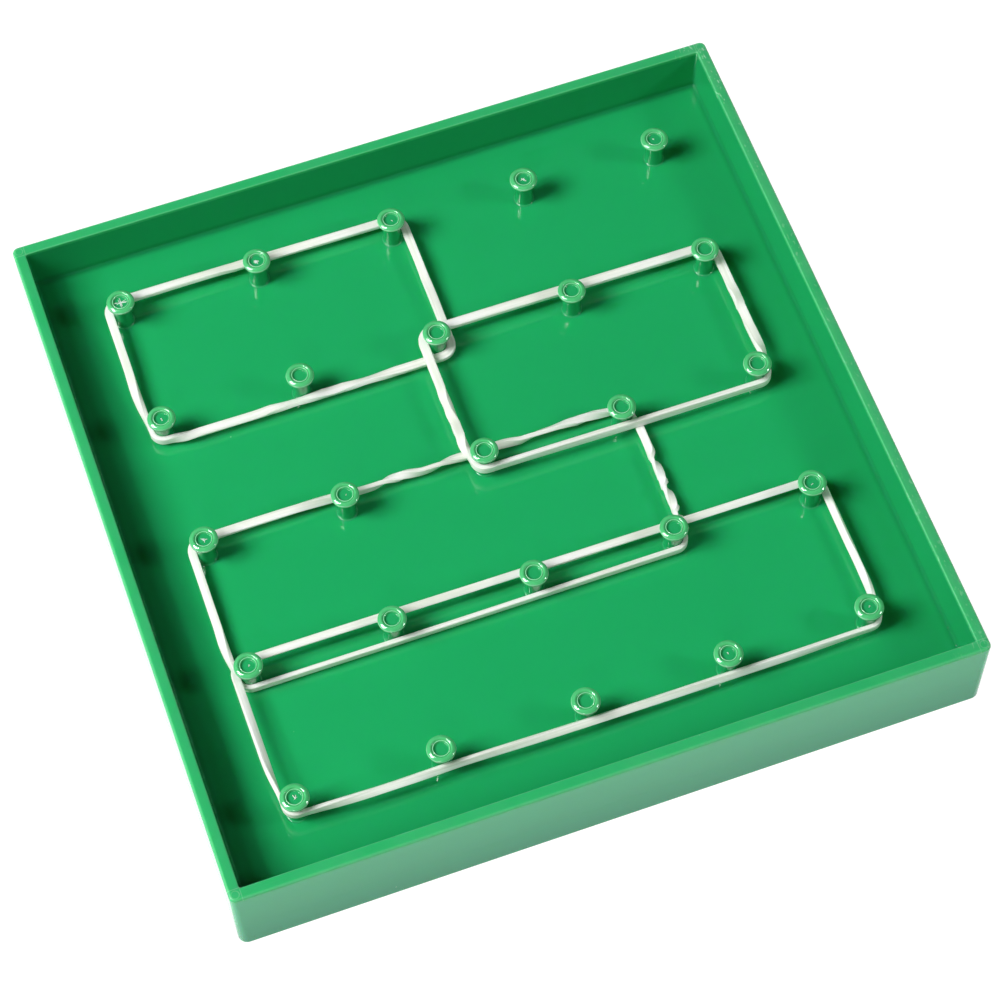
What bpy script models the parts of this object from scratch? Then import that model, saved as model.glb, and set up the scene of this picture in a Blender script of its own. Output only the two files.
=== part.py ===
"""Geoboard with stretched rubber bands: a square tray, a grid of headed pegs and four flat bands.

Units are metres. The origin is at the middle of the tray's underside, +Z is up, +X runs along the
rows of pegs from left to right and +Y from the front row to the back row.
"""

import math

import bmesh
import bpy

# ---------------------------------------------------------------- driving dimensions
# Tray: one square moulding with a raised rim, a floor and a hollow skirt under the floor.
PEG_PITCH = 0.030
PEGS_PER_SIDE = 5
EDGE_MARGIN = 0.01825
TRAY_HEIGHT = 0.0222
FLOOR_DEPTH = 0.0111
FLOOR_THICKNESS = 0.0022
RIM_WALL = 0.0025
WALL_DRAFT = 0.0005
SKIRT_WALL = 0.0026
CORNER_RADIUS = 0.0013
INNER_CORNER_RADIUS = 0.0005
CORNER_SEGMENTS = 3

# Peg: a turned-looking pin whose ring-shaped head holds the bands down.
SHAFT_RADIUS = 0.00195
SHAFT_HEIGHT = 0.0064
HEAD_OVERHANG = 0.0010
HEAD_RING_THICKNESS = 0.0013
DISH_DEPTH = 0.0005
DISH_RADIUS = 0.0015
SPIGOT_RADIUS = 0.00135
SPIGOT_LENGTH = 0.0040
BOSS_WALL = 0.0012
ROUND_SEGMENTS = 12

# Band: a flat strip of rubber that stands on edge around the shafts.
BAND_WIDTH = 0.0020
BAND_THICKNESS = 0.0011
BAND_ARC_SEGMENTS = 5

# Clearance between pieces that touch on the real object.
CLEARANCE = 0.0003

# How far a hidden tool body reaches past the face it joins or cuts.
TOOL_OVERRUN = 0.0010

# ---------------------------------------------------------------- sizes that follow from them
GRID_SPAN = PEG_PITCH * (PEGS_PER_SIDE - 1)
TRAY_SIDE = GRID_SPAN + 2 * EDGE_MARGIN
FLOOR_Z = TRAY_HEIGHT - FLOOR_DEPTH
UNDERSIDE_Z = FLOOR_Z - FLOOR_THICKNESS
HEAD_RADIUS = SHAFT_RADIUS + HEAD_OVERHANG
SOCKET_RADIUS = SPIGOT_RADIUS + CLEARANCE
SOCKET_BOTTOM_Z = FLOOR_Z - SPIGOT_LENGTH - CLEARANCE
BOSS_RADIUS = SOCKET_RADIUS + BOSS_WALL
BOSS_BOTTOM_Z = SOCKET_BOTTOM_Z - BOSS_WALL
BAND_INNER_RADIUS = SHAFT_RADIUS + CLEARANCE
BAND_OUTER_RADIUS = BAND_INNER_RADIUS + BAND_THICKNESS
BAND_STACK = 2 * BAND_WIDTH + CLEARANCE
LOW_BAND_Z = FLOOR_Z + (SHAFT_HEIGHT - BAND_STACK) / 2
HIGH_BAND_Z = LOW_BAND_Z + BAND_WIDTH + CLEARANCE

# Each band goes round a rectangle of pegs, given as its back-left and front-right corners in
# (row, column), counted from the back left. Bands that cross lie at different heights.
BANDS = {
    "rubber_band_back_left": ((1, 1), (2, 3), LOW_BAND_Z),
    "rubber_band_middle_right": ((2, 3), (3, 5), HIGH_BAND_Z),
    "rubber_band_middle_left": ((3, 1), (4, 4), LOW_BAND_Z),
    "rubber_band_front": ((4, 1), (5, 5), HIGH_BAND_Z),
}


# ---------------------------------------------------------------- helpers
def clear_scene():
    """Remove every object of the file that this script runs in."""
    for obj in list(bpy.data.objects):
        bpy.data.objects.remove(obj, do_unlink=True)


def principled(name, colour, roughness, transmission=0.0):
    """Make a plain material from one Principled shader."""
    material = bpy.data.materials.new(name)
    material.use_nodes = True
    shader = material.node_tree.nodes["Principled BSDF"]
    shader.inputs["Base Color"].default_value = (*colour, 1.0)
    shader.inputs["Roughness"].default_value = roughness
    shader.inputs["Metallic"].default_value = 0.0
    shader.inputs["Transmission Weight"].default_value = transmission
    return material


def peg_position(row, column):
    """Return the plan position of a peg, counted from 1 at the back left."""
    x = (column - 1) * PEG_PITCH - GRID_SPAN / 2
    y = GRID_SPAN / 2 - (row - 1) * PEG_PITCH
    return x, y


def peg_grid():
    """Yield (row, column) of every peg."""
    for row in range(1, PEGS_PER_SIDE + 1):
        for column in range(1, PEGS_PER_SIDE + 1):
            yield row, column


def finish_object(name, bm, material=None):
    """Turn a bmesh into a linked object with outward normals."""
    bmesh.ops.recalc_face_normals(bm, faces=bm.faces)
    mesh = bpy.data.meshes.new(name)
    bm.to_mesh(mesh)
    bm.free()
    if material:
        mesh.materials.append(material)
    obj = bpy.data.objects.new(name, mesh)
    bpy.context.collection.objects.link(obj)
    return obj


# ---------------------------------------------------------------- tray
def square_ring(bm, side, radius, z):
    """Draw the points of a level square with rounded corners, in order."""
    centre = side / 2 - radius
    verts = []
    for sx, sy, start in ((1, 1, 0), (-1, 1, 90), (-1, -1, 180), (1, -1, 270)):
        for step in range(CORNER_SEGMENTS + 1):
            angle = math.radians(start + 90 * step / CORNER_SEGMENTS)
            x = sx * centre + radius * math.cos(angle)
            y = sy * centre + radius * math.sin(angle)
            verts.append(bm.verts.new((x, y, z)))
    return verts


def tray_shell(bm):
    """Skin the tray's section ring by ring, from its underside round the rim to its floor."""
    rim_opening = TRAY_SIDE - 2 * RIM_WALL
    skirt_opening = TRAY_SIDE - 2 * SKIRT_WALL
    sections = [
        (skirt_opening - 2 * WALL_DRAFT, INNER_CORNER_RADIUS, UNDERSIDE_Z),
        (skirt_opening, INNER_CORNER_RADIUS, 0.0),
        (TRAY_SIDE, CORNER_RADIUS, 0.0),
        (TRAY_SIDE, CORNER_RADIUS, TRAY_HEIGHT),
        (rim_opening, INNER_CORNER_RADIUS, TRAY_HEIGHT),
        (rim_opening - 2 * WALL_DRAFT, INNER_CORNER_RADIUS, FLOOR_Z),
    ]
    rings = [square_ring(bm, *section) for section in sections]
    for lower, upper in zip(rings, rings[1:]):
        for index in range(len(lower)):
            bm.faces.new((lower[index - 1], lower[index], upper[index], upper[index - 1]))
    bm.faces.new(rings[0])
    bm.faces.new(rings[-1])


def divide_between_pegs(bm):
    """Cut the faces halfway between the pegs, so that each boss and socket has a face of its own."""
    for gap in range(1, PEGS_PER_SIDE):
        place = (gap - 0.5) * PEG_PITCH - GRID_SPAN / 2
        for normal in ((1, 0, 0), (0, 1, 0)):
            bmesh.ops.bisect_plane(
                bm,
                geom=list(bm.verts) + list(bm.edges) + list(bm.faces),
                plane_co=(place, place, 0),
                plane_no=normal,
            )


def hidden_cylinders(name, radius, bottom_z, top_z):
    """Make one upright cylinder per peg position, as a hidden tool body for the tray."""
    bm = bmesh.new()
    for row, column in peg_grid():
        x, y = peg_position(row, column)
        made = bmesh.ops.create_cone(
            bm,
            cap_ends=True,
            segments=ROUND_SEGMENTS,
            radius1=radius,
            radius2=radius,
            depth=top_z - bottom_z,
        )
        bmesh.ops.translate(bm, vec=(x, y, (top_z + bottom_z) / 2), verts=made["verts"])
    obj = finish_object(name, bm)
    obj.hide_render = True
    obj.display_type = "WIRE"
    return obj


def add_boolean(obj, tool, operation):
    """Join a tool body to an object, or cut it away.

    The Manifold solver joins all 25 bosses to the floor in one step. The Exact solver leaves some
    of them loose, because each boss overlaps the floor by only part of its thickness.
    """
    modifier = obj.modifiers.new(operation.lower() + "_" + tool.name, "BOOLEAN")
    modifier.object = tool
    modifier.operation = operation
    modifier.solver = "MANIFOLD"


def make_tray(material):
    """Make the tray: rim, floor, skirt and a socketed boss under each peg."""
    bm = bmesh.new()
    tray_shell(bm)
    divide_between_pegs(bm)
    tray = finish_object("tray", bm, material)
    bosses = hidden_cylinders(
        "tool_bosses", BOSS_RADIUS, BOSS_BOTTOM_Z, UNDERSIDE_Z + FLOOR_THICKNESS / 2
    )
    sockets = hidden_cylinders(
        "tool_sockets", SOCKET_RADIUS, SOCKET_BOTTOM_Z, FLOOR_Z + TOOL_OVERRUN
    )
    add_boolean(tray, bosses, "UNION")
    add_boolean(tray, sockets, "DIFFERENCE")
    return tray


# ---------------------------------------------------------------- pegs
def peg_profile():
    """Return the peg's half outline as (radius, height over the floor), from the top down."""
    ring_radius = HEAD_RING_THICKNESS / 2
    ring_centre = HEAD_RADIUS - ring_radius
    ring_mid_z = SHAFT_HEIGHT + ring_radius
    dish_z = SHAFT_HEIGHT + HEAD_RING_THICKNESS - DISH_DEPTH
    points = [(0.0, dish_z), (DISH_RADIUS, dish_z)]
    for angle in (90, 45, 0, -45, -90):
        r = ring_centre + ring_radius * math.cos(math.radians(angle))
        z = ring_mid_z + ring_radius * math.sin(math.radians(angle))
        points.append((r, z))
    points.append((SHAFT_RADIUS, SHAFT_HEIGHT))
    points.append((SHAFT_RADIUS, CLEARANCE))
    points.append((SPIGOT_RADIUS, CLEARANCE))
    points.append((SPIGOT_RADIUS, -SPIGOT_LENGTH))
    points.append((0.0, -SPIGOT_LENGTH))
    return points


def make_peg_mesh(material):
    """Make the peg's outline as a chain of edges at +X."""
    bm = bmesh.new()
    verts = [bm.verts.new((r, 0.0, z)) for r, z in peg_profile()]
    for first, second in zip(verts, verts[1:]):
        bm.edges.new((first, second))
    mesh = bpy.data.meshes.new("peg_outline")
    bm.to_mesh(mesh)
    bm.free()
    mesh.materials.append(material)
    return mesh


def make_peg(row, column, mesh):
    """Make one peg by turning the shared outline about its own axis."""
    peg = bpy.data.objects.new(f"peg_r{row}_c{column}", mesh)
    bpy.context.collection.objects.link(peg)
    peg.location = (*peg_position(row, column), FLOOR_Z)
    turn = peg.modifiers.new("turn", "SCREW")
    turn.axis = "Z"
    turn.angle = math.tau
    turn.steps = ROUND_SEGMENTS
    turn.render_steps = ROUND_SEGMENTS
    turn.use_merge_vertices = True
    turn.merge_threshold = 0.00001
    turn.use_smooth_shade = True
    return peg


# ---------------------------------------------------------------- rubber bands
def band_outline(bm, first, last, radius):
    """Make the closed outline that runs round the corner pegs at a radius from their axes."""
    left, back = peg_position(*first)
    right, front = peg_position(*last)
    corners = [(right, back, 0), (left, back, 90), (left, front, 180), (right, front, 270)]
    verts = []
    for x, y, start in corners:
        for step in range(BAND_ARC_SEGMENTS + 1):
            angle = math.radians(start + 90 * step / BAND_ARC_SEGMENTS)
            place = (x + radius * math.cos(angle), y + radius * math.sin(angle), 0.0)
            verts.append(bm.verts.new(place))
    ring = list(zip(verts, verts[1:] + verts[:1]))
    return [bm.edges.new(pair) for pair in ring]


def make_band(name, first, last, bottom_z, material):
    """Make one band: a flat closed loop, extruded to the strip's width."""
    bm = bmesh.new()
    edges = band_outline(bm, first, last, BAND_INNER_RADIUS)
    edges += band_outline(bm, first, last, BAND_OUTER_RADIUS)
    bmesh.ops.bridge_loops(bm, edges=edges)
    raised = bmesh.ops.extrude_face_region(bm, geom=list(bm.faces), use_keep_orig=True)
    top = [item for item in raised["geom"] if isinstance(item, bmesh.types.BMVert)]
    bmesh.ops.translate(bm, vec=(0, 0, BAND_WIDTH), verts=top)
    band = finish_object(name, bm, material)
    band.location = (0.0, 0.0, bottom_z)
    return band


# ---------------------------------------------------------------- assembly
def main():
    clear_scene()
    tray_green = principled("tray_green", (0.014, 0.381, 0.112), 0.12)
    peg_green = principled("peg_clear_green", (0.074, 0.451, 0.156), 0.10, transmission=0.3)
    rubber = principled("band_rubber", (0.84, 0.84, 0.76), 0.55)
    make_tray(tray_green)
    peg_mesh = make_peg_mesh(peg_green)
    for row, column in peg_grid():
        make_peg(row, column, peg_mesh)
    for name, (first, last, bottom_z) in BANDS.items():
        make_band(name, first, last, bottom_z, rubber)
    bpy.context.view_layer.update()


main()
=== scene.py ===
# %% [markdown]
# # A geoboard with stretched rubber bands
#
# The object is a square tray of moulded green plastic, a grid of headed pegs that stand on its
# floor, and four pale rubber bands stretched round some of the pegs. This file loads the packed
# model as a fixed frame, then makes a finely finished copy of each piece round it, with its
# material, and sets up a camera and soft studio light.
#
# Everything is in metres. The origin is the middle of the tray's underside, +X runs along the
# rows of pegs, +Y towards the back row and +Z up.

import math
import random

import bmesh
import bpy
from mathutils import Matrix, Vector


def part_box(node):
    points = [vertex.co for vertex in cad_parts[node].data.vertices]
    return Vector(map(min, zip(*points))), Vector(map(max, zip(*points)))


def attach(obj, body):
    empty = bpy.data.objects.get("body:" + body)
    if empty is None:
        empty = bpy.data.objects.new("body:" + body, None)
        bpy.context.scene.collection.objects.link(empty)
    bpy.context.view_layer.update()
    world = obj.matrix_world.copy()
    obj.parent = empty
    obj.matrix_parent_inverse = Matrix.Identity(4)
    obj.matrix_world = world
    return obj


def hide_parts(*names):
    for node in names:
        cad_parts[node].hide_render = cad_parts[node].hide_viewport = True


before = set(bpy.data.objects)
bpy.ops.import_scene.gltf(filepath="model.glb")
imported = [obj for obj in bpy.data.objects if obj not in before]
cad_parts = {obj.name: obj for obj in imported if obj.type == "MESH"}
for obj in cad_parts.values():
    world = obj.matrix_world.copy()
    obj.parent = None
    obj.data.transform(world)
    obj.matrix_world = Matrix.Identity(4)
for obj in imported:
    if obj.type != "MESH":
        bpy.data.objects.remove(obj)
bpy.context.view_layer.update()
MM = 0.001

# %% [markdown]
# ## Sizes
#
# The places come from the frame, so the fine pieces land where the plain ones are: the tray's box
# gives the rim, the first peg's box gives the head, and the distance between two pegs gives the
# grid's pitch. The small sizes that no box can tell, such as a wall or a rounding, are named here.

# %% Read the layout from the frame
tray_low, tray_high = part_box("tray")
TRAY_SIDE = tray_high.x - tray_low.x
TRAY_HEIGHT = tray_high.z
ROWS = range(1, 6)
COLUMNS = range(1, 6)


def peg_centre(row, column):
    """Return the axis of a peg in plan, counted from 1 at the back left."""
    low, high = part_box(f"peg_r{row}_c{column}")
    return Vector(((low.x + high.x) / 2, (low.y + high.y) / 2, 0.0))


PEG_AT = {(row, column): peg_centre(row, column) for row in ROWS for column in COLUMNS}
PITCH = PEG_AT[1, 2].x - PEG_AT[1, 1].x
peg_low, peg_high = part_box("peg_r1_c1")
HEAD_TOP_Z = peg_high.z
HEAD_RADIUS = (peg_high.x - peg_low.x) / 2
SPIGOT_BOTTOM_Z = peg_low.z
print(f"pitch {PITCH / MM:.2f} mm, head {2 * HEAD_RADIUS / MM:.2f} mm wide at {HEAD_TOP_Z / MM:.2f} mm")

# %% Name the small sizes
FLOOR_Z = TRAY_HEIGHT - 11.1 * MM
FLOOR_THICKNESS = 2.2 * MM
RIM_WALL = 2.5 * MM
SKIRT_WALL = 2.6 * MM
WALL_DRAFT = 0.5 * MM
CORNER_RADIUS = 1.3 * MM
FOOT_SOFTENING = 0.7 * MM
INNER_CORNER_RADIUS = 0.5 * MM
SHAFT_RADIUS = 1.95 * MM
HEAD_RING = 1.3 * MM
DISH_DEPTH = 0.75 * MM
RIDGE_RADIUS = 1.66 * MM
SPIGOT_RADIUS = 1.35 * MM
SOCKET_RADIUS = 1.65 * MM
SOCKET_SPARE_DEPTH = 0.3 * MM
BOSS_RADIUS = 2.85 * MM
BOSS_BOTTOM_Z = 5.6 * MM
BAND_WIDTH = 2.0 * MM
BAND_THICKNESS = 1.1 * MM

# %% [markdown]
# ## Helpers
#
# Four small helpers serve the whole file. One turns an sRGB hex colour into the linear values that
# Blender's shaders expect. One adds a shader node with its settings and links. One starts a
# material. The last one turns a bmesh into an object that rides on a CAD body and stands for its
# CAD node. Helpers that only one piece needs are defined next to that piece.


# %% Colours and nodes
def linear(hex_colour):
    """Turn "#rrggbb" in sRGB into a linear RGBA tuple."""
    channels = [int(hex_colour[i : i + 2], 16) / 255 for i in (1, 3, 5)]
    return tuple(c / 12.92 if c <= 0.04045 else ((c + 0.055) / 1.055) ** 2.4 for c in channels) + (1.0,)


def add_node(material, kind, inputs, **settings):
    """Add a node, set its properties and fill its sockets with values or links."""
    tree = material.node_tree
    made = tree.nodes.new(kind)
    for name, value in settings.items():
        setattr(made, name, value)
    for socket, value in inputs.items():
        if isinstance(value, bpy.types.NodeSocket):
            tree.links.new(value, made.inputs[socket])
        else:
            made.inputs[socket].default_value = value
    return made


def new_material(name):
    """Return an empty node material and its Principled shader."""
    material = bpy.data.materials.new(name)
    material.use_nodes = True
    return material, material.node_tree.nodes["Principled BSDF"]


# %% Finished pieces
def finish_piece(name, bm, material, body, node, sharp_angle=40):
    """Turn a bmesh into a smooth object that rides on a body and stands for a CAD node."""
    mesh = bpy.data.meshes.new(name)
    bm.to_mesh(mesh)
    bm.free()
    mesh.materials.append(material)
    mesh.shade_smooth()
    mesh.set_sharp_from_angle(angle=math.radians(sharp_angle))
    piece = bpy.data.objects.new(name, mesh)
    bpy.context.collection.objects.link(piece)
    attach(piece, body)
    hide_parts(node)
    return piece


# %% [markdown]
# ## The tray's plastic
#
# The tray is **injection moulded polystyrene**, coloured through with an opaque green. Polystyrene
# has a refractive index of 1.59 and comes out of a polished mould almost like glass, so its floor
# mirrors the pegs. Handling has dulled it a little, so the shader's index is 1.53. What keeps it
# from looking like a computer's idea of plastic is faint: a slow waviness where the melt shrank, a
# little light that passes through the thin rim, and hair-fine scuffs and specks of dust.


# %% Make the tray's plastic
def threshold(material, value, low, high, to_low=0.0, to_high=1.0):
    """Map the range low to high onto the range to_low to to_high, clamped at both ends."""
    made = add_node(
        material,
        "ShaderNodeMapRange",
        {"Value": value, "From Min": low, "From Max": high, "To Min": to_low, "To Max": to_high},
    )
    return made.outputs["Result"]


def multiply(material, first, second):
    made = add_node(material, "ShaderNodeMath", {0: first, 1: second}, operation="MULTIPLY")
    return made.outputs["Value"]


def mix_colour(material, factor, first, second):
    made = add_node(
        material, "ShaderNodeMix", {"Factor": factor, 6: first, 7: second}, data_type="RGBA"
    )
    return made.outputs[2]


def noise(material, vector, size, detail=2.0, distortion=0.0):
    """Return the value of a noise texture whose features are about size metres across."""
    made = add_node(
        material,
        "ShaderNodeTexNoise",
        {"Vector": vector, "Scale": 1 / size, "Detail": detail, "Distortion": distortion},
    )
    return made.outputs["Fac"]


def make_tray_plastic():
    material, shader = new_material("moulded_polystyrene_green")
    coordinates = add_node(material, "ShaderNodeTexCoord", {})
    place = coordinates.outputs["Object"]
    height = add_node(material, "ShaderNodeSeparateXYZ", {"Vector": place}).outputs["Z"]
    facing_up = add_node(
        material, "ShaderNodeSeparateXYZ", {"Vector": coordinates.outputs["Normal"]}
    ).outputs["Z"]

    # Colour drifts a little over some 40 mm, as pigment does in a melt.
    drift = noise(material, place, 40 * MM)
    colour = mix_colour(material, drift, linear("#1ea963"), linear("#20ae67"))

    # Towards the walls the floor is painted darker, a painted shade where the walls keep light off it,
    # darkest in the corner where the floor meets a wall. Folding X and Y about zero treats the four
    # sides alike.
    outer = TRAY_SIDE / 2
    inner = outer - RIM_WALL
    folded = add_node(material, "ShaderNodeVectorMath", {0: place}, operation="ABSOLUTE")
    halves = add_node(material, "ShaderNodeSeparateXYZ", {"Vector": folded.outputs["Vector"]})
    sides = add_node(material, "ShaderNodeSeparateXYZ", {"Vector": place})
    reach = add_node(
        material,
        "ShaderNodeMath",
        {0: halves.outputs["X"], 1: halves.outputs["Y"]},
        operation="MAXIMUM",
    ).outputs["Value"]
    painted_wall_shade = threshold(material, reach, inner - 13.75 * MM, inner - 0.75 * MM)
    colour = mix_colour(material, multiply(material, painted_wall_shade, 0.24), colour, linear("#157f49"))
    # Along the front wall the floor is painted darker again, a painted shadow of that wall.
    front = threshold(material, sides.outputs["Y"], 3.75 * MM - inner, 19.75 * MM - inner, 1.0, 0.0)
    colour = mix_colour(material, multiply(material, front, 0.2), colour, linear("#157f49"))
    # A narrow painted shade darkens the floor along the foot of each inner wall, and stops short of the
    # outer walls.
    foot = multiply(
        material,
        threshold(material, reach, inner - 1.95 * MM, inner - 0.95 * MM),
        threshold(material, height, FLOOR_Z + 0.6 * MM, FLOOR_Z + 1.8 * MM, 1.0, 0.0),
    )
    inside = threshold(material, reach, inner + 0.15 * MM, inner + 0.45 * MM, 1.0, 0.0)
    foot = multiply(material, foot, inside)
    colour = mix_colour(material, multiply(material, foot, 0.35), colour, linear("#0f6f3c"))

    # The outer walls are painted a paler, cooler green than the floor, a painted reflection of the
    # white floor round the tray, and painted deeper towards the foot, a painted shade for the shadowed
    # floor that the foot reflects.
    outside = threshold(material, reach, outer - 1.05 * MM, outer - 0.45 * MM)
    colour = mix_colour(material, multiply(material, outside, 0.5), colour, linear("#1fcb91"))
    low = multiply(material, outside, threshold(material, height, 0.0, 20 * MM, 0.5, 0.0))
    colour = mix_colour(material, low, colour, linear("#0f6f58"))
    # Sliding about on tables has taken some of their gloss, most of it low down.
    gloss = add_node(
        material,
        "ShaderNodeMath",
        {0: threshold(material, outside, 0.0, 1.0, 0.5, 0.29), 1: multiply(material, low, 0.3)},
        operation="SUBTRACT",
    ).outputs["Value"]

    # The rim's top is painted lighter than the floor, a painted brightening where no wall shades it.
    # Handling has left a thin uneven veil on it that is thickest on the right. Its rounded edges are
    # paler still.
    on_rim = threshold(material, height, TRAY_HEIGHT - 1.0 * MM, TRAY_HEIGHT - 0.6 * MM)
    colour = mix_colour(material, on_rim, colour, linear("#26b16a"))
    on_right = threshold(material, sides.outputs["X"], inner - 5.75 * MM, inner - 0.75 * MM)
    amount = threshold(material, on_right, 0.0, 1.0, 0.045, 0.10)
    cloudy = threshold(material, noise(material, place, 8 * MM), 0.3, 0.7, 0.4, 1.0)
    veil = multiply(material, multiply(material, on_rim, cloudy), amount)
    colour = mix_colour(material, veil, colour, linear("#c9ecd8"))
    turned = multiply(
        material,
        threshold(material, facing_up, 0.25, 0.6),
        threshold(material, facing_up, 0.9, 0.995, 1.0, 0.0),
    )
    edge = multiply(material, on_rim, turned)
    colour = mix_colour(material, multiply(material, edge, 0.08), colour, linear("#dff5e8"))

    # Nicks: short white bruises, most of them towards the back end of the right rim.
    drawn_out = add_node(
        material, "ShaderNodeMapping", {"Vector": place, "Scale": (1.0, 0.4, 1.0)}
    ).outputs["Vector"]
    bruise = threshold(material, noise(material, drawn_out, 0.6 * MM, 3.0), 0.58, 0.66)
    at_back = threshold(material, sides.outputs["Y"], 45 * MM, 74 * MM, 0.3, 1.0)
    knocked = multiply(material, on_right, at_back)
    patchy = threshold(material, noise(material, place, 5 * MM, 0.0), 0.42, 0.6, 0.1, 1.0)
    nick = multiply(material, multiply(material, bruise, knocked), on_rim)
    nick = multiply(material, nick, patchy)
    colour = mix_colour(material, multiply(material, nick, 0.45), colour, linear("#e4f6ea"))

    # Specks of dust: tiny dots in a few of the cells of a 9 mm pattern.
    cells = add_node(material, "ShaderNodeTexVoronoi", {"Vector": place, "Scale": 1 / (9 * MM)})
    dot = threshold(material, cells.outputs["Distance"], 0.012, 0.018, 1.0, 0.0)
    chosen = add_node(material, "ShaderNodeSeparateColor", {"Color": cells.outputs["Color"]})
    some = threshold(material, chosen.outputs["Red"], 0.60, 0.61)
    speck = multiply(material, dot, some)
    colour = mix_colour(material, speck, colour, linear("#86d3a6"))

    # The polish is uneven, and the dulled rim is rougher than the floor.
    polish = threshold(material, noise(material, place, 30 * MM, 1.0), 0.35, 0.7, 0.02, 0.045)
    rough = add_node(
        material, "ShaderNodeMath", {0: multiply(material, on_rim, 0.2), 1: polish}, operation="ADD"
    )

    # The mould's waviness is a few hundredths of a millimetre over 12 mm. The scuffs are thin
    # broken lines, drawn about 0.15 mm wide so that they show at all.
    wavy = add_node(
        material,
        "ShaderNodeBump",
        {"Height": noise(material, place, 12 * MM, 1.0), "Strength": 0.25, "Distance": 0.05 * MM},
    )
    streak = noise(material, place, 14 * MM, 3.0, 1.6)
    line = multiply(
        material,
        threshold(material, streak, 0.497, 0.500),
        threshold(material, streak, 0.500, 0.503, 1.0, 0.0),
    )
    broken = threshold(material, noise(material, place, 6 * MM, 1.0), 0.5, 0.6)
    scuffed = add_node(
        material,
        "ShaderNodeBump",
        {
            "Height": multiply(material, line, broken),
            "Strength": 0.3,
            "Distance": 0.02 * MM,
            "Normal": wavy.outputs["Normal"],
        },
    )
    # Each corner of the rim shows the round mark of an ejector pin, 0.8 mm in radius and hardly
    # deeper than a fingernail can feel, and two hairlines where the rim's flows of melt met.
    corner = outer - 1.35 * MM
    from_mark = add_node(
        material,
        "ShaderNodeVectorMath",
        {0: folded.outputs["Vector"], 1: (corner, corner, TRAY_HEIGHT)},
        operation="DISTANCE",
    ).outputs["Value"]
    ring = multiply(
        material,
        threshold(material, from_mark, 0.66 * MM, 0.76 * MM),
        threshold(material, from_mark, 0.84 * MM, 0.94 * MM, 1.0, 0.0),
    )
    seams = ring
    for one, other in (("X", "Y"), ("Y", "X")):
        on_line = add_node(
            material,
            "ShaderNodeMath",
            {0: halves.outputs[one], 1: inner, 2: 0.09 * MM},
            operation="COMPARE",
        ).outputs["Value"]
        beyond = threshold(material, halves.outputs[other], inner, inner + 0.1 * MM)
        hairline = multiply(material, multiply(material, on_line, beyond), on_rim)
        seams = add_node(
            material, "ShaderNodeMath", {0: seams, 1: hairline}, operation="MAXIMUM"
        ).outputs["Value"]
    colour = mix_colour(material, multiply(material, seams, 0.11), colour, linear("#dff5e8"))
    marked = add_node(
        material,
        "ShaderNodeBump",
        {
            "Height": threshold(material, from_mark, 0.72 * MM, 0.88 * MM),
            "Strength": 0.6,
            "Distance": 0.05 * MM,
            "Normal": scuffed.outputs["Normal"],
        },
    )
    links = material.node_tree.links
    links.new(colour, shader.inputs["Base Color"])
    links.new(rough.outputs["Value"], shader.inputs["Roughness"])
    links.new(gloss, shader.inputs["Specular IOR Level"])
    links.new(marked.outputs["Normal"], shader.inputs["Normal"])
    shader.inputs["IOR"].default_value = 1.53
    shader.inputs["Subsurface Weight"].default_value = 1.0
    shader.inputs["Subsurface Radius"].default_value = (0.3, 1.0, 0.5)
    shader.inputs["Subsurface Scale"].default_value = 1.6 * MM
    return material


tray_plastic = make_tray_plastic()
print("made", tray_plastic.name, "with", len(tray_plastic.node_tree.nodes), "nodes")

# %% [markdown]
# ## The pegs' plastic
#
# The pegs are moulded from **clear polystyrene tinted green**. In tinted plastic the colour
# deepens with the thickness that light has to cross, so the thin ring of a head looks pale and
# milky while the shaft and the floor of the dish stay as deep a green as the tray. Tracing light
# through each peg would show that, slowly and with noise. Instead each point of the mesh carries
# how thin the plastic is there, in the attribute `thin`, and that picks the colour.
#
# The middle of the dish carries the scar of the gate where the melt came in: a few torn, whitish
# ridges. They are modelled on the mesh, and the attribute `scar` turns them white.


# %% Make the pegs' plastic
def make_peg_plastic():
    material, shader = new_material("tinted_polystyrene_green")
    place = add_node(material, "ShaderNodeTexCoord", {}).outputs["Object"]
    thin = add_node(material, "ShaderNodeAttribute", {}, attribute_name="thin").outputs["Fac"]
    scar = add_node(material, "ShaderNodeAttribute", {}, attribute_name="scar").outputs["Fac"]
    # The melt is never quite even: the milkiness changes over about a millimetre.
    milk = threshold(material, noise(material, place, 1.3 * MM), 0.3, 0.7, 0.85, 1.0)
    ring = threshold(material, multiply(material, thin, milk), 0.0, 0.6)
    colour = mix_colour(material, ring, linear("#1c9f5d"), linear("#55c27b"))
    # The sharpest edges of the head are painted as pale lines, a painted highlight where they gather
    # the light.
    line = threshold(material, multiply(material, thin, milk), 0.6, 1.0)
    colour = mix_colour(material, line, colour, linear("#b4ebcb"))
    colour = mix_colour(material, scar, colour, linear("#eafaf0"))
    ripple = add_node(
        material,
        "ShaderNodeBump",
        {"Height": noise(material, place, 0.9 * MM), "Strength": 0.12, "Distance": 0.03 * MM},
    )
    links = material.node_tree.links
    links.new(colour, shader.inputs["Base Color"])
    links.new(ripple.outputs["Normal"], shader.inputs["Normal"])
    shader.inputs["Roughness"].default_value = 0.03
    shader.inputs["IOR"].default_value = 1.59
    shader.inputs["Subsurface Weight"].default_value = 0.3
    shader.inputs["Subsurface Radius"].default_value = (0.4, 1.0, 0.6)
    shader.inputs["Subsurface Scale"].default_value = 0.5 * MM
    return material


peg_plastic = make_peg_plastic()
print("made", peg_plastic.name)

# %% [markdown]
# ## The bands' rubber
#
# The bands are **natural rubber**, extruded as a tube that is sliced into rings. Pale, undyed
# rubber is a warm off-white with a matt skin, and fine lines run along the strip. The lines follow
# the band round its corners and twists, so the material reads the band's own UV map: U runs along
# the loop and V round the strip.


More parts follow.
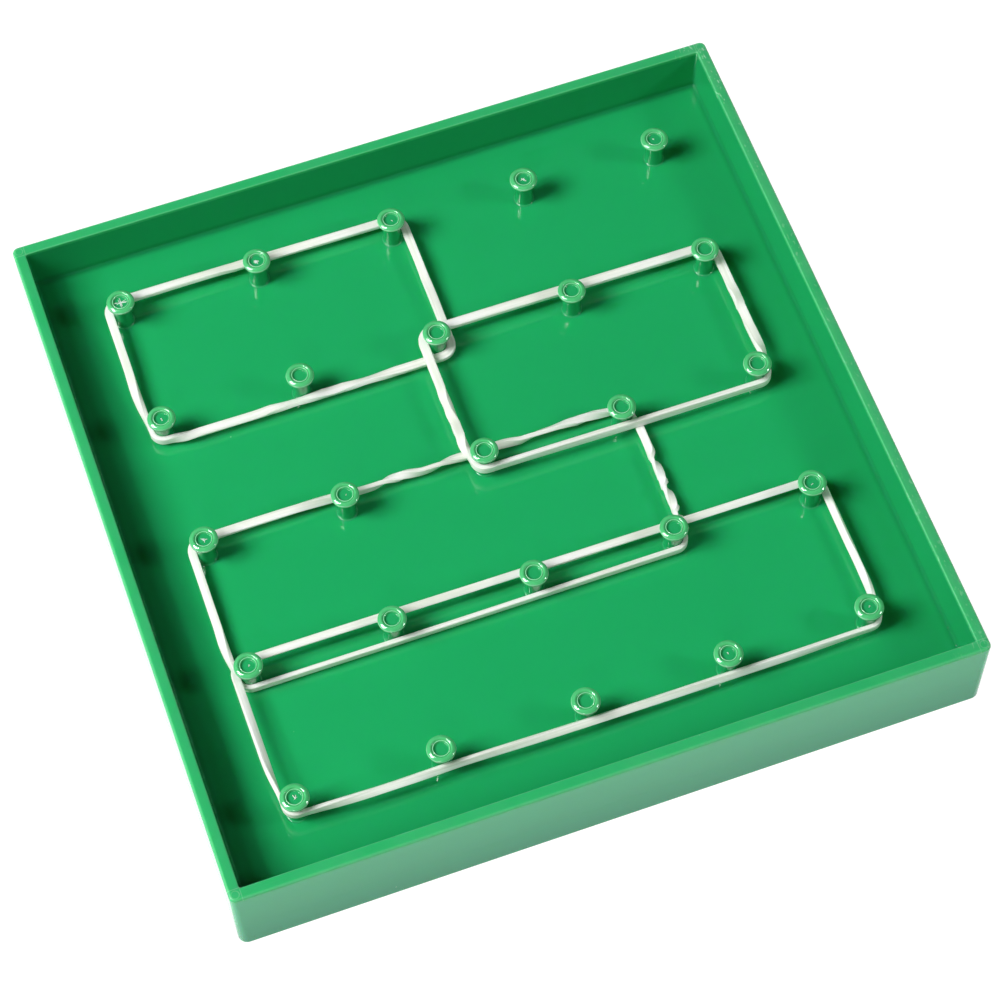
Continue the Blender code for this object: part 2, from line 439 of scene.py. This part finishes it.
# %% Make the bands' rubber
def make_rubber():
    material, shader = new_material("natural_rubber_pale")
    uv = add_node(material, "ShaderNodeTexCoord", {}).outputs["UV"]
    # U is in metres along the band, V in metres round the strip, so the scales are real sizes.
    # The fine lines lie about 0.2 mm apart and last some 25 mm along the band.
    stretched = add_node(
        material, "ShaderNodeMapping", {"Vector": uv, "Scale": (1 / 25, 1 / 0.2, 1.0)}
    ).outputs["Vector"]
    lines = noise(material, stretched, MM, 3.0)
    tone = threshold(material, lines, 0.36, 0.62)
    colour = mix_colour(material, tone, linear("#e4e7db"), linear("#fffdf5"))
    ridges = add_node(
        material, "ShaderNodeBump", {"Height": lines, "Strength": 0.8, "Distance": 0.08 * MM}
    )
    links = material.node_tree.links
    links.new(colour, shader.inputs["Base Color"])
    links.new(ridges.outputs["Normal"], shader.inputs["Normal"])
    shader.inputs["Roughness"].default_value = 0.5
    shader.inputs["IOR"].default_value = 1.52
    # Light wanders a millimetre or so inside pale rubber, so the sides glow with the top's light.
    shader.inputs["Subsurface Weight"].default_value = 0.8
    shader.inputs["Subsurface Radius"].default_value = (1.0, 1.0, 0.95)
    shader.inputs["Subsurface Scale"].default_value = 1.3 * MM
    return material


rubber = make_rubber()
print("made", rubber.name)

# %% [markdown]
# ## The tray's shell
#
# The tray is one moulding: a rim wall round a floor, and a hollow skirt under it. Its section is
# the same all the way round, so the shell is skinned over a stack of square rings with rounded
# corners, from the underside of the floor, down the inside of the skirt, up the outside, over the
# rim and down to the floor. A row of extruded boards would leave seams at the corners, and this
# way the mesh is closed from the start.
#
# Each ring is three numbers: half of its side, its corner radius and its height. The walls lean a
# little, which is the draft that lets a moulding leave its mould. The roundings are short arcs:
# a wide one on the rim's outer edge and where the floor meets the wall, and tight ones on the rim's
# inner edge and at the foot. A hair-fine groove below the middle is the mould's parting line.


# %% Draw the section as a stack of rings
def arc(centre_r, centre_z, radius, start, end, steps):
    """Return points along an arc in the (radius, height) plane, with angles in degrees."""
    angles = [math.radians(start + (end - start) * i / steps) for i in range(steps + 1)]
    return [(centre_r + radius * math.cos(a), centre_z + radius * math.sin(a)) for a in angles]


def tray_section():
    """Return (half side, height) points from the underside of the floor round to its top."""
    outer = TRAY_SIDE / 2
    rim_inner = outer - RIM_WALL
    skirt_inner = outer - SKIRT_WALL
    plate_z = FLOOR_Z - FLOOR_THICKNESS
    rim_round = 0.65 * MM
    edge = 0.3 * MM
    foot = 0.7 * MM
    groove = 0.03 * MM
    lip = 0.2 * MM
    bottom = 0.08 * MM
    parting_z = 8.6 * MM
    points = [(skirt_inner - WALL_DRAFT - 1.0 * MM, plate_z)]
    points += arc(skirt_inner - WALL_DRAFT - edge, plate_z - edge, edge, 90, 0, 3)
    points += arc(skirt_inner + edge, edge, edge, 180, 270, 3)
    points += arc(outer - edge, edge, edge, 270, 360, 3)
    points += [(outer, parting_z - lip), (outer - groove, parting_z - bottom)]
    points += [(outer - groove, parting_z + bottom), (outer, parting_z + lip)]
    points += arc(outer - rim_round, TRAY_HEIGHT - rim_round, rim_round, 0, 90, 6)
    points += arc(rim_inner + edge, TRAY_HEIGHT - edge, edge, 90, 180, 3)
    points += arc(rim_inner - WALL_DRAFT - foot, FLOOR_Z + foot, foot, 0, -90, 5)
    return points


def corner_radius_at(half_side, z):
    """Round the outer corners, a little more towards the foot, and the inner ones tightly."""
    outer = TRAY_SIDE / 2
    if half_side > outer - CORNER_RADIUS + 0.1 * MM:
        softer = FOOT_SOFTENING * (1 - z / TRAY_HEIGHT)
        return CORNER_RADIUS + softer - (outer - half_side)
    return INNER_CORNER_RADIUS


def square_ring(bm, half_side, radius, z, corner_steps=6):
    """Draw the points of a level square with rounded corners, in order."""
    verts = []
    centre = half_side - radius
    for sx, sy, start in ((1, 1, 0), (-1, 1, 90), (-1, -1, 180), (1, -1, 270)):
        for x, y in arc(0.0, 0.0, radius, start, start + 90, corner_steps):
            verts.append(bm.verts.new((sx * centre + x, sy * centre + y, z)))
    return verts


def skin(bm, lower, upper):
    """Join two rings of equally many points with a belt of quads, point by point.

    bridge_loops pairs the nearest points instead, and twists the belt between two squares of
    different sizes.
    """
    for index in range(len(lower)):
        bm.faces.new((lower[index - 1], lower[index], upper[index], upper[index - 1]))


def tray_shell():
    """Skin the rings, and close the underside and the floor with one face each."""
    bm = bmesh.new()
    rings = [square_ring(bm, h, corner_radius_at(h, z), z) for h, z in tray_section()]
    for lower, upper in zip(rings, rings[1:]):
        skin(bm, lower, upper)
    bm.faces.new(rings[0])
    bm.faces.new(rings[-1])
    bmesh.ops.recalc_face_normals(bm, faces=bm.faces)
    return bm


tray_bm = tray_shell()
print("shell:", len(tray_bm.faces), "faces from", len(tray_section()), "rings")

# %% [markdown]
# ## Sockets and bosses
#
# Each peg sits in a blind socket, and a round boss under the floor gives the socket its wall. A
# Boolean could cut them, but on a wide flat face it leaves long thin triangles. Here the floor is
# first cut into squares halfway between the pegs with `bisect_plane`. In each square a circle is
# drawn, `triangle_fill` closes the flat part between the square and the circle, and the circle is
# extruded into a socket or a boss.


# %% Cut the floor into one square for each peg
def split_level(bm, z):
    """Cut the faces at a height halfway between the pegs, and return the squares."""
    near = 0.05 * MM

    def squares():
        return [f for f in bm.faces if all(abs(v.co.z - z) < near for v in f.verts)]

    for index in range(1, 5):
        middle = (PEG_AT[1, index].x + PEG_AT[1, index + 1].x) / 2
        for normal in (Vector((1, 0, 0)), Vector((0, 1, 0))):
            faces = squares()
            edges = {e for f in faces for e in f.edges}
            verts = {v for f in faces for v in f.verts}
            bmesh.ops.bisect_plane(
                bm, geom=[*faces, *edges, *verts], plane_co=normal * middle, plane_no=normal
            )
    return squares()


floor_squares = split_level(tray_bm, FLOOR_Z)
underside_squares = split_level(tray_bm, FLOOR_Z - FLOOR_THICKNESS)
print(len(floor_squares), "floor squares and", len(underside_squares), "underside squares")

# %% Sink a socket or raise a boss in each square
CIRCLE_SIDES = 32


def open_circle(bm, square, centre, radius, z):
    """Replace a square by the flat ring round a circle, and return the circle's edges."""
    up = Vector((0, 0, 1 if square.normal.z > 0 else -1))
    border = list(square.edges)
    bmesh.ops.delete(bm, geom=[square], context="FACES_ONLY")
    spot = Matrix.Translation((centre.x, centre.y, z))
    made = bmesh.ops.create_circle(bm, segments=CIRCLE_SIDES, radius=radius, matrix=spot)
    circle = list({e for v in made["verts"] for e in v.link_edges})
    bmesh.ops.triangle_fill(bm, edges=border + circle, normal=up, use_beauty=True)
    return circle


def push_circle(bm, circle, height):
    """Extrude a circle to a depth or a height, close it, and return the closing face."""
    raised = bmesh.ops.extrude_edge_only(bm, edges=circle)
    verts = [item for item in raised["geom"] if isinstance(item, bmesh.types.BMVert)]
    end = [
        item
        for item in raised["geom"]
        if isinstance(item, bmesh.types.BMEdge) and all(v in verts for v in item.verts)
    ]
    bmesh.ops.translate(bm, vec=(0, 0, height), verts=verts)
    return bmesh.ops.contextual_create(bm, geom=end)["faces"]


def nearest_peg(face):
    centre = face.calc_center_bounds()
    return min(PEG_AT.values(), key=lambda p: (p.x - centre.x) ** 2 + (p.y - centre.y) ** 2)


def add_sockets(bm, squares):
    """Sink a blind socket under each peg."""
    depth = FLOOR_Z - SPIGOT_BOTTOM_Z + SOCKET_SPARE_DEPTH
    for square in squares:
        peg = nearest_peg(square)
        circle = open_circle(bm, square, peg, SOCKET_RADIUS, FLOOR_Z)
        push_circle(bm, circle, -depth)


def add_bosses(bm, squares):
    """Hang a round boss, with a softened end, under each peg."""
    z = FLOOR_Z - FLOOR_THICKNESS
    for square in squares:
        peg = nearest_peg(square)
        circle = open_circle(bm, square, peg, BOSS_RADIUS, z)
        cap = push_circle(bm, circle, BOSS_BOTTOM_Z - z)
        bmesh.ops.bevel(
            bm,
            geom=list(cap[0].edges),
            offset=0.3 * MM,
            offset_type="OFFSET",
            segments=2,
            profile=0.5,
            affect="EDGES",
            material=-1,
        )


add_sockets(tray_bm, floor_squares)
add_bosses(tray_bm, underside_squares)
bmesh.ops.recalc_face_normals(tray_bm, faces=tray_bm.faces)
open_edges = sum(not e.is_manifold for e in tray_bm.edges)
print("tray:", len(tray_bm.faces), "faces,", open_edges, "open edges")
tray = finish_piece("moulded_tray", tray_bm, tray_plastic, "board", "tray", 35)

# %% [markdown]
# Smooth shading would bend the light on the wide flat faces next to each rounding. A Weighted
# Normal modifier lets the wide faces decide, so that they stay flat and only the roundings turn.

# %% Keep the wide faces flat
def keep_faces_flat(piece):
    """Let the largest face at each point decide how light falls there."""
    flatten = piece.modifiers.new("weighted_normals", "WEIGHTED_NORMAL")
    flatten.mode = "FACE_AREA"
    flatten.weight = 100
    flatten.keep_sharp = True


keep_faces_flat(tray)

# %% [markdown]
# ## The pegs
#
# A peg is round all over, so half of its outline is drawn once and spun about the peg's axis. From
# the top down the outline has the dish, the rounded ring of the head, the underside, the shaft, a
# small flare where it stands on the floor, and the spigot that goes into the socket. Each peg's
# place is put into its mesh, because a finished object stays at the origin.


# %% Draw half of a peg's outline
def follow(points, radius, start_tilt, end_tilt, steps):
    """Go on from the last point along an arc whose surface tilts from one angle to another."""
    r, z = points[-1]
    tilt = math.radians(start_tilt)
    centre = (r - radius * math.sin(tilt), z - radius * math.cos(tilt))
    points += arc(*centre, radius, 90 - start_tilt, 90 - end_tilt, steps)[1:]


def peg_outline():
    """Return (radius, height) points from the dish's middle to the spigot's end."""
    under_ring = 0.5 * MM
    dish_z = HEAD_TOP_Z - DISH_DEPTH
    dish_foot = 0.15 * MM
    ridge_z = HEAD_TOP_Z - 0.22 * MM
    ridge_round = 0.1 * MM
    under_z = HEAD_TOP_Z - HEAD_RING
    neck = 0.2 * MM
    flare = 0.35 * MM
    chamfer = 0.2 * MM
    points = [(0.0, dish_z), (0.7 * MM, dish_z)]
    points += arc(1.30 * MM, dish_z + dish_foot, dish_foot, -90, -20, 4)
    points += arc(RIDGE_RADIUS, ridge_z - ridge_round, ridge_round, 160, 30, 6)
    points += [(RIDGE_RADIUS + 0.18 * MM, HEAD_TOP_Z - 0.38 * MM)]
    # The ring: a slope that faces inwards, a narrow crest, a slope that faces outwards, an edge.
    points += [(HEAD_RADIUS - 1.044 * MM, HEAD_TOP_Z - 0.168 * MM)]
    follow(points, 0.8 * MM, -40, -20, 5)
    follow(points, 0.2 * MM, -20, 20, 4)
    follow(points, 1.9 * MM, 20, 38, 6)
    follow(points, 0.35 * MM, 38, 90, 6)
    points += arc(HEAD_RADIUS - under_ring, under_z + under_ring, under_ring, 0, -85, 6)
    points += arc(SHAFT_RADIUS + neck, under_z - neck, neck, 90, 180, 3)
    points += arc(SHAFT_RADIUS + flare, FLOOR_Z + flare, flare, 180, 270, 8)
    points += [(SPIGOT_RADIUS, FLOOR_Z), (SPIGOT_RADIUS, SPIGOT_BOTTOM_Z + chamfer)]
    points += [(SPIGOT_RADIUS - chamfer, SPIGOT_BOTTOM_Z), (0.0, SPIGOT_BOTTOM_Z)]
    return points


print(len(peg_outline()), "outline points")


# %% Spin an outline
def spin_outline(points, sides):
    """Spin an outline about the Z axis into a closed shape."""
    bm = bmesh.new()
    verts = [bm.verts.new((r, 0.0, z)) for r, z in points]
    edges = [bm.edges.new(pair) for pair in zip(verts, verts[1:])]
    bmesh.ops.spin(
        bm,
        geom=verts + edges,
        cent=(0, 0, 0),
        axis=(0, 0, 1),
        angle=math.tau,
        steps=sides,
        use_merge=True,
    )
    bmesh.ops.remove_doubles(bm, verts=bm.verts, dist=0.001 * MM)
    bmesh.ops.recalc_face_normals(bm, faces=bm.faces)
    return bm


def thinness(place):
    """Say how pale the plastic is painted: 0 in the shaft, 0.6 in the head's ring, 1 on its edges,
    whose pale lines are a painted highlight.
    """
    reach = place.xy.length
    if place.z < HEAD_TOP_Z - HEAD_RING - 0.1 * MM:
        # The foot's flare thins out to nothing on the floor.
        return 0.15 if reach > SHAFT_RADIUS + 0.1 * MM else 0.0
    if reach < 1.44 * MM:
        return 0.04
    if reach < 1.58 * MM:
        return 0.4
    # The ridge and the head's outer edge get 0.9: a painted highlight that draws them as pale lines.
    on_ridge = abs(reach - RIDGE_RADIUS) < 0.07 * MM
    on_edge = reach > HEAD_RADIUS - 0.1 * MM and place.z > HEAD_TOP_Z - 0.6 * MM
    return 0.9 if on_ridge or on_edge else 0.6


# %% [markdown]
# The scars differ from peg to peg. Most heads are clean or have one small torn ridge, and the peg
# at the back left has a long crossed one. Each ridge is a bevelled sliver that is sunk a little
# into the dish. The strokes of each peg are drawn from its own seeded generator, so that every
# run of this file gives the same pegs.

# %% Add the gate scars
# The number of strokes and the length of the longest one, in millimetres.
SCARS = {
    (1, 1): (6, 3.0),
    (1, 2): (5, 1.2),
    (1, 3): (1, 0.5),
    (1, 4): (3, 1.1),
    (1, 5): (1, 0.6),
    (2, 1): (2, 0.8),
    (3, 1): (4, 1.4),
    (3, 2): (1, 0.5),
    (4, 1): (2, 0.6),
    (4, 5): (1, 0.7),
    (5, 1): (3, 1.0),
    (5, 4): (2, 0.6),
    (5, 5): (2, 0.5),
}
SCAR_HEIGHT = 0.16 * MM


def add_scar(bm, layer, chance, length):
    """Add one torn ridge in the dish."""
    made = bmesh.ops.create_cube(bm, size=1.0)
    verts = made["verts"]
    width = chance.uniform(0.14, 0.22) * MM
    size = (length * chance.uniform(0.7, 1.0), width, SCAR_HEIGHT)
    bmesh.ops.scale(bm, vec=size, verts=verts)
    for vert in verts:
        # Narrow the ridge towards its ends and its top.
        vert.co.y *= 0.35 if vert.co.z > 0 else 1.0
        vert.co.x *= 0.8 if vert.co.z > 0 else 1.0
    turn = Matrix.Rotation(chance.uniform(0, math.pi), 3, "Z")
    bmesh.ops.rotate(bm, cent=(0, 0, 0), matrix=turn, verts=verts)
    away = 0.25 * MM
    middle_z = HEAD_TOP_Z - DISH_DEPTH + 0.03 * MM
    shift = (chance.uniform(-away, away), chance.uniform(-away, away), middle_z)
    bmesh.ops.translate(bm, vec=shift, verts=verts)
    for vert in verts:
        vert[layer] = 1.0


# %% Place the pegs
PEG_SIDES = 48


def make_peg(row, column):
    """Make one peg with its own gate scar."""
    bm = spin_outline(peg_outline(), PEG_SIDES)
    thin = bm.verts.layers.float.new("thin")
    scar = bm.verts.layers.float.new("scar")
    for vert in bm.verts:
        vert[thin] = thinness(vert.co)
    strokes, length = SCARS.get((row, column), (0, 0.0))
    chance = random.Random(10 * row + column)
    for _ in range(strokes):
        add_scar(bm, scar, chance, length * MM)
    bmesh.ops.translate(bm, vec=PEG_AT[row, column], verts=bm.verts)
    node = f"peg_r{row}_c{column}"
    return finish_piece(
        f"pin_r{row}_c{column}", bm, peg_plastic, "board", node, 50
    )


pegs = [make_peg(row, column) for row, column in PEG_AT]
print(len(pegs), "pegs of", len(pegs[0].data.polygons), "faces")

# %% [markdown]
# ## The rubber bands
#
# A band is a flat strip that runs round the outside of its pegs. At some corners it stands on edge,
# with its wide side against the shaft, and at others it lies flat. Between pegs it twists, because
# nobody lays a band without twisting it.
#
# A curve with a bevel profile suits this well: the curve is the loop, its profile is the strip's
# section, and the tilt of each point is the twist. The curve is then made a mesh, which brings a
# UV map that follows the band.
#
# Each side of a loop is written as a list of (share of the way, half turns) pairs, counted from the
# side's own beginning, and the height over the floor is given at each corner. `start` is how the
# strip lies at the first corner: 0 is upright on its edge, 0.5 is flat. `slack` scales its section,
# because a band that is stretched further gets thinner.


# %% Describe the four bands
# Corners and sides go round in the order: back right, back left, front left, front right.
# "back" runs from the back right peg to the back left one, and so on round the loop.
BANDS = {
    "rubber_band_back_left": {
        "corners": ((1, 3), (1, 1), (2, 1), (2, 3)),
        "heights": (2.5, 3.1, 2.3, 2.0),
        "slack": 0.9,
        "start": 0.5,
        "back": ((0.0, 0), (0.5, -0.08), (0.65, 0.08), (1.0, 0)),
        "left": ((0.0, 0), (0.45, 0.02), (1.0, 0.5)),
        "front": (
            (0.0, 0), (0.12, -0.4), (0.3, -0.35), (0.46, -0.7),
            (0.6, -0.45), (0.72, -0.7), (0.86, -0.48), (1.0, -0.5),
        ),
        "right": ((0.0, 0), (0.4, 0.05), (0.7, -0.05), (1.0, 0)),
    },
    "rubber_band_middle_right": {
        "corners": ((2, 5), (2, 3), (3, 3), (3, 5)),
        "heights": (3.1, 3.8, 3.8, 3.2),
        "slack": 0.96,
        "start": 0.5,
        "back": ((0.0, 0), (0.5, -0.03), (1.0, 0)),
        "left": ((0.0, 0), (0.35, 0.03), (0.52, 0.28), (0.72, -0.05), (1.0, 0.5)),
        "front": ((0.0, 0), (0.5, -0.04), (1.0, 0)),
        "right": ((0.0, 0), (0.3, -0.45), (0.5, -0.58), (0.62, -0.36), (0.8, -0.55), (1.0, -0.5)),
    },
    "rubber_band_middle_left": {
        "corners": ((3, 4), (3, 1), (4, 1), (4, 4)),
        "heights": (1.9, 2.2, 1.75, 2.0),
        "slack": 0.86,
        "start": 0.0,
        "back": ((0.0, 0), (0.17, 0.8), (0.36, 1.5), (0.47, 2), (0.6, 3), (0.83, 3.4), (1.0, 3.5)),
        "left": ((0.0, 0), (0.55, 0.03), (1.0, 0.5)),
        "front": ((0.0, 0), (0.5, 0.03), (1.0, 0)),
        "right": ((0.0, 0), (0.08, 0.5), (0.3, 1.6), (0.52, 2.6), (0.75, 3.4), (0.92, 3.5), (1.0, 4)),
    },
    "rubber_band_front": {
        "corners": ((4, 5), (4, 1), (5, 1), (5, 5)),
        "heights": (2.7, 3.8, 4.3, 2.7),
        "slack": 0.79,
        "start": 0.35,
        "back": ((0.0, 0), (0.3, 0.03), (0.42, 0.13), (0.6, 0), (1.0, 0.05)),
        "left": ((0.0, 0), (0.6, -0.1), (1.0, -0.4)),
        "front": ((0.0, 0), (0.15, -0.3), (0.28, -0.12), (0.5, -0.3), (0.8, -0.15), (1.0, 0)),
        "right": ((0.0, 0), (0.4, 0.4), (0.6, 0.28), (1.0, 0.35)),
    },
}
SIDES = ("back", "left", "front", "right")

# %% Follow a band round its pegs
SEAT_GAP = 0.05 * MM
STRAIGHT_STEP = 0.75 * MM
CORNER_STEPS = 8


def eased(keys, share):
    """Read a list of (share, value) keys with a soft start and stop at each key."""
    for (s0, v0), (s1, v1) in zip(keys, keys[1:]):
        if share <= s1:
            t = (share - s0) / (s1 - s0)
            return v0 + (v1 - v0) * t * t * (3 - 2 * t)
    return keys[-1][1]


def loop_radius(half_turns, slack):
    """Return how far the strip's middle is from the pegs' line, so that its inside just clears."""
    angle = half_turns * math.pi
    flat_part = abs(math.sin(angle)) * BAND_WIDTH / 2
    upright_part = abs(math.cos(angle)) * BAND_THICKNESS / 2
    return SHAFT_RADIUS + SEAT_GAP + (flat_part + upright_part) * slack


def band_route(band):
    """Return (place, half turns) along the loop, anticlockwise from the back right corner."""
    route = []
    turns = band["start"]
    slack = band["slack"]
    for side, name in enumerate(SIDES):
        here = PEG_AT[band["corners"][side]]
        there = PEG_AT[band["corners"][(side + 1) % 4]]
        z0 = FLOOR_Z + band["heights"][side] * MM
        z1 = FLOOR_Z + band["heights"][(side + 1) % 4] * MM
        for step in range(CORNER_STEPS):
            angle = math.radians(90 * side + 90 * step / CORNER_STEPS)
            out = Vector((math.cos(angle), math.sin(angle), 0))
            route.append((here + out * loop_radius(turns, slack) + Vector((0, 0, z0)), turns))
        angle = math.radians(90 * side + 90)
        out = Vector((math.cos(angle), math.sin(angle), 0))
        steps = round((there - here).length / STRAIGHT_STEP)
        for step in range(steps):
            share = step / steps
            twist = turns + eased(band[name], share)
            place = here.lerp(there, share) + out * loop_radius(twist, slack)
            place.z = z0 + (z1 - z0) * eased(((0, 0), (1, 1)), share)
            route.append((place, twist))
        turns += band[name][-1][1]
    return route, turns - band["start"]


for band_name, band in BANDS.items():
    loop, turned = band_route(band)
    print(band_name, len(loop), "points,", round(turned, 3), "half turns in all")

# %% [markdown]
# The loop closes only when the strip arrives the way it set out, so the half turns of a loop add
# up to an even number. The section is a flat rectangle with softened corners.


# %% Sweep the strip
def strip_profile():
    """Return a closed curve object with the strip's section: thin along X, wide along Y."""
    curve = bpy.data.curves.new("strip_section", "CURVE")
    curve.dimensions = "2D"
    soft = 0.07 * MM
    spline = curve.splines.new("POLY")
    points = []
    for sx, sy, start in ((1, 1, 0), (-1, 1, 90), (-1, -1, 180), (1, -1, 270)):
        cx = sx * (BAND_THICKNESS / 2 - soft)
        cy = sy * (BAND_WIDTH / 2 - soft)
        points += arc(cx, cy, soft, start, start + 90, 3)
    spline.points.add(len(points) - 1)
    for point, (x, y) in zip(spline.points, points):
        point.co = (x, y, 0, 1)
    spline.use_cyclic_u = True
    return bpy.data.objects.new("strip_section", curve)


def sweep_band(name, band, profile):
    """Sweep the strip round the loop as a mesh."""
    route, _ = band_route(band)
    curve = bpy.data.curves.new(name, "CURVE")
    curve.dimensions = "3D"
    curve.twist_mode = "Z_UP"
    curve.bevel_mode = "OBJECT"
    curve.bevel_object = profile
    spline = curve.splines.new("POLY")
    spline.points.add(len(route) - 1)
    for point, (place, half_turns) in zip(spline.points, route):
        point.co = (*place, 1)
        point.tilt = half_turns * math.pi
        point.radius = band["slack"]
    spline.use_cyclic_u = True
    holder = bpy.data.objects.new(name, curve)
    bpy.context.collection.objects.link(holder)
    bpy.context.view_layer.update()
    shape = holder.evaluated_get(bpy.context.evaluated_depsgraph_get())
    mesh = bpy.data.meshes.new_from_object(shape)
    bpy.data.objects.remove(holder)
    return mesh, route


def route_length(route):
    places = [place for place, _ in route]
    return sum((b - a).length for a, b in zip(places, places[1:] + places[:1]))


def make_band(name, band, profile):
    """Make one band, with its UV map in metres along and round the strip."""
    mesh, route = sweep_band(name, band, profile)
    length = route_length(route)
    girth = 2 * (BAND_WIDTH + BAND_THICKNESS)
    bm = bmesh.new()
    bm.from_mesh(mesh)
    bmesh.ops.remove_doubles(bm, verts=bm.verts, dist=0.001 * MM)
    bmesh.ops.recalc_face_normals(bm, faces=bm.faces)
    uv = bm.loops.layers.uv.verify()
    for face in bm.faces:
        for corner in face.loops:
            corner[uv].uv.x *= length
            corner[uv].uv.y *= girth
    print(name, "runs", round(length / MM), "mm round its pegs,", len(bm.faces), "faces")
    return finish_piece(
        "flat_" + name, bm, rubber, name + "_body", name, 60
    )


section = strip_profile()
bands = [make_band(name, band, section) for name, band in BANDS.items()]
bpy.data.objects.remove(section)
for piece in bands:
    keep_faces_flat(piece)

# %% [markdown]
# ## The studio
#
# The object stands on a plain sweep that glows white. A large soft box hangs to the left, halfway
# up the sky, so that each peg throws a short soft shadow to the right. A narrow strip over it draws
# the pale upright line on each shaft. Two weaker boxes, low on the right and at the front left,
# lift the shadows and give each head its second and third glint. The room itself is almost dark,
# which keeps the glossy floor of the tray a deep green.


# %% Put down the floor
def make_floor():
    material, shader = new_material("studio_white")
    shader.inputs["Base Color"].default_value = (0.12, 0.12, 0.12, 1.0)
    shader.inputs["Roughness"].default_value = 0.9
    shader.inputs["Specular IOR Level"].default_value = 0.0
    shader.inputs["Emission Color"].default_value = (1.0, 1.0, 1.0, 1.0)
    shader.inputs["Emission Strength"].default_value = 1.0
    bm = bmesh.new()
    bmesh.ops.create_grid(bm, x_segments=1, y_segments=1, size=3.0)
    mesh = bpy.data.meshes.new("studio_floor")
    bm.to_mesh(mesh)
    bm.free()
    mesh.materials.append(material)
    floor = bpy.data.objects.new("studio_floor", mesh)
    floor.location.z = -0.05 * MM
    bpy.context.collection.objects.link(floor)


make_floor()


# %% Hang the lights
def add_light(name, azimuth, elevation, size, watts, distance=1.15):
    """Add a soft light that faces the tray's floor: direction in degrees, (width, height) in m."""
    level = math.cos(math.radians(elevation)) * distance
    target = Vector((0.0, 0.0, FLOOR_Z))
    offset = Vector(
        (
            level * math.cos(math.radians(azimuth)),
            level * math.sin(math.radians(azimuth)),
            math.sin(math.radians(elevation)) * distance,
        )
    )
    data = bpy.data.lights.new(name, "AREA")
    data.shape = "RECTANGLE"
    data.size, data.size_y = size
    data.energy = watts
    light = bpy.data.objects.new(name, data)
    light.location = target + offset
    light.rotation_euler = (-offset).to_track_quat("-Z", "Y").to_euler()
    bpy.context.collection.objects.link(light)


add_light("key_left", azimuth=178, elevation=45, size=(0.48, 0.48), watts=14.9)
add_light("strip_left", azimuth=191, elevation=61, size=(0.06, 0.30), watts=2.6)
add_light("fill_right", azimuth=-25, elevation=33, size=(0.20, 0.20), watts=3.1)
add_light("fill_front_left", azimuth=240, elevation=36, size=(0.11, 0.11), watts=0.9)

world = bpy.data.worlds.new("studio_room")
world.use_nodes = True
world.node_tree.nodes["Background"].inputs["Color"].default_value = (1.0, 1.0, 1.0, 1.0)
world.node_tree.nodes["Background"].inputs["Strength"].default_value = 0.02
bpy.context.scene.world = world
bpy.context.scene.view_settings.view_transform = "Standard"

# %% [markdown]
# ## The camera
#
# The camera looks down on the board from the front left with a long lens, 0.66 m from what it aims
# at, and it is turned a little about its own axis. The lens is given for a sensor 36 mm wide.


# %% Place the camera
def add_camera(place, aim, roll_degrees, lens_mm):
    """Add the scene's camera, aimed at a point and rolled about its own axis."""
    data = bpy.data.cameras.new("camera")
    data.lens = lens_mm
    data.sensor_width = 36.0
    data.clip_start = 0.05
    data.clip_end = 20.0
    camera = bpy.data.objects.new("camera", data)
    level = (Vector(aim) - Vector(place)).to_track_quat("-Z", "Y").to_matrix().to_4x4()
    roll = Matrix.Rotation(math.radians(roll_degrees), 4, "Z")
    camera.matrix_world = Matrix.Translation(place) @ level @ roll
    bpy.context.collection.objects.link(camera)
    bpy.context.scene.camera = camera


add_camera((-0.09440, -0.30790, 0.58955), (0.00033, -0.00829, FLOOR_Z), -2.237, 115.46)
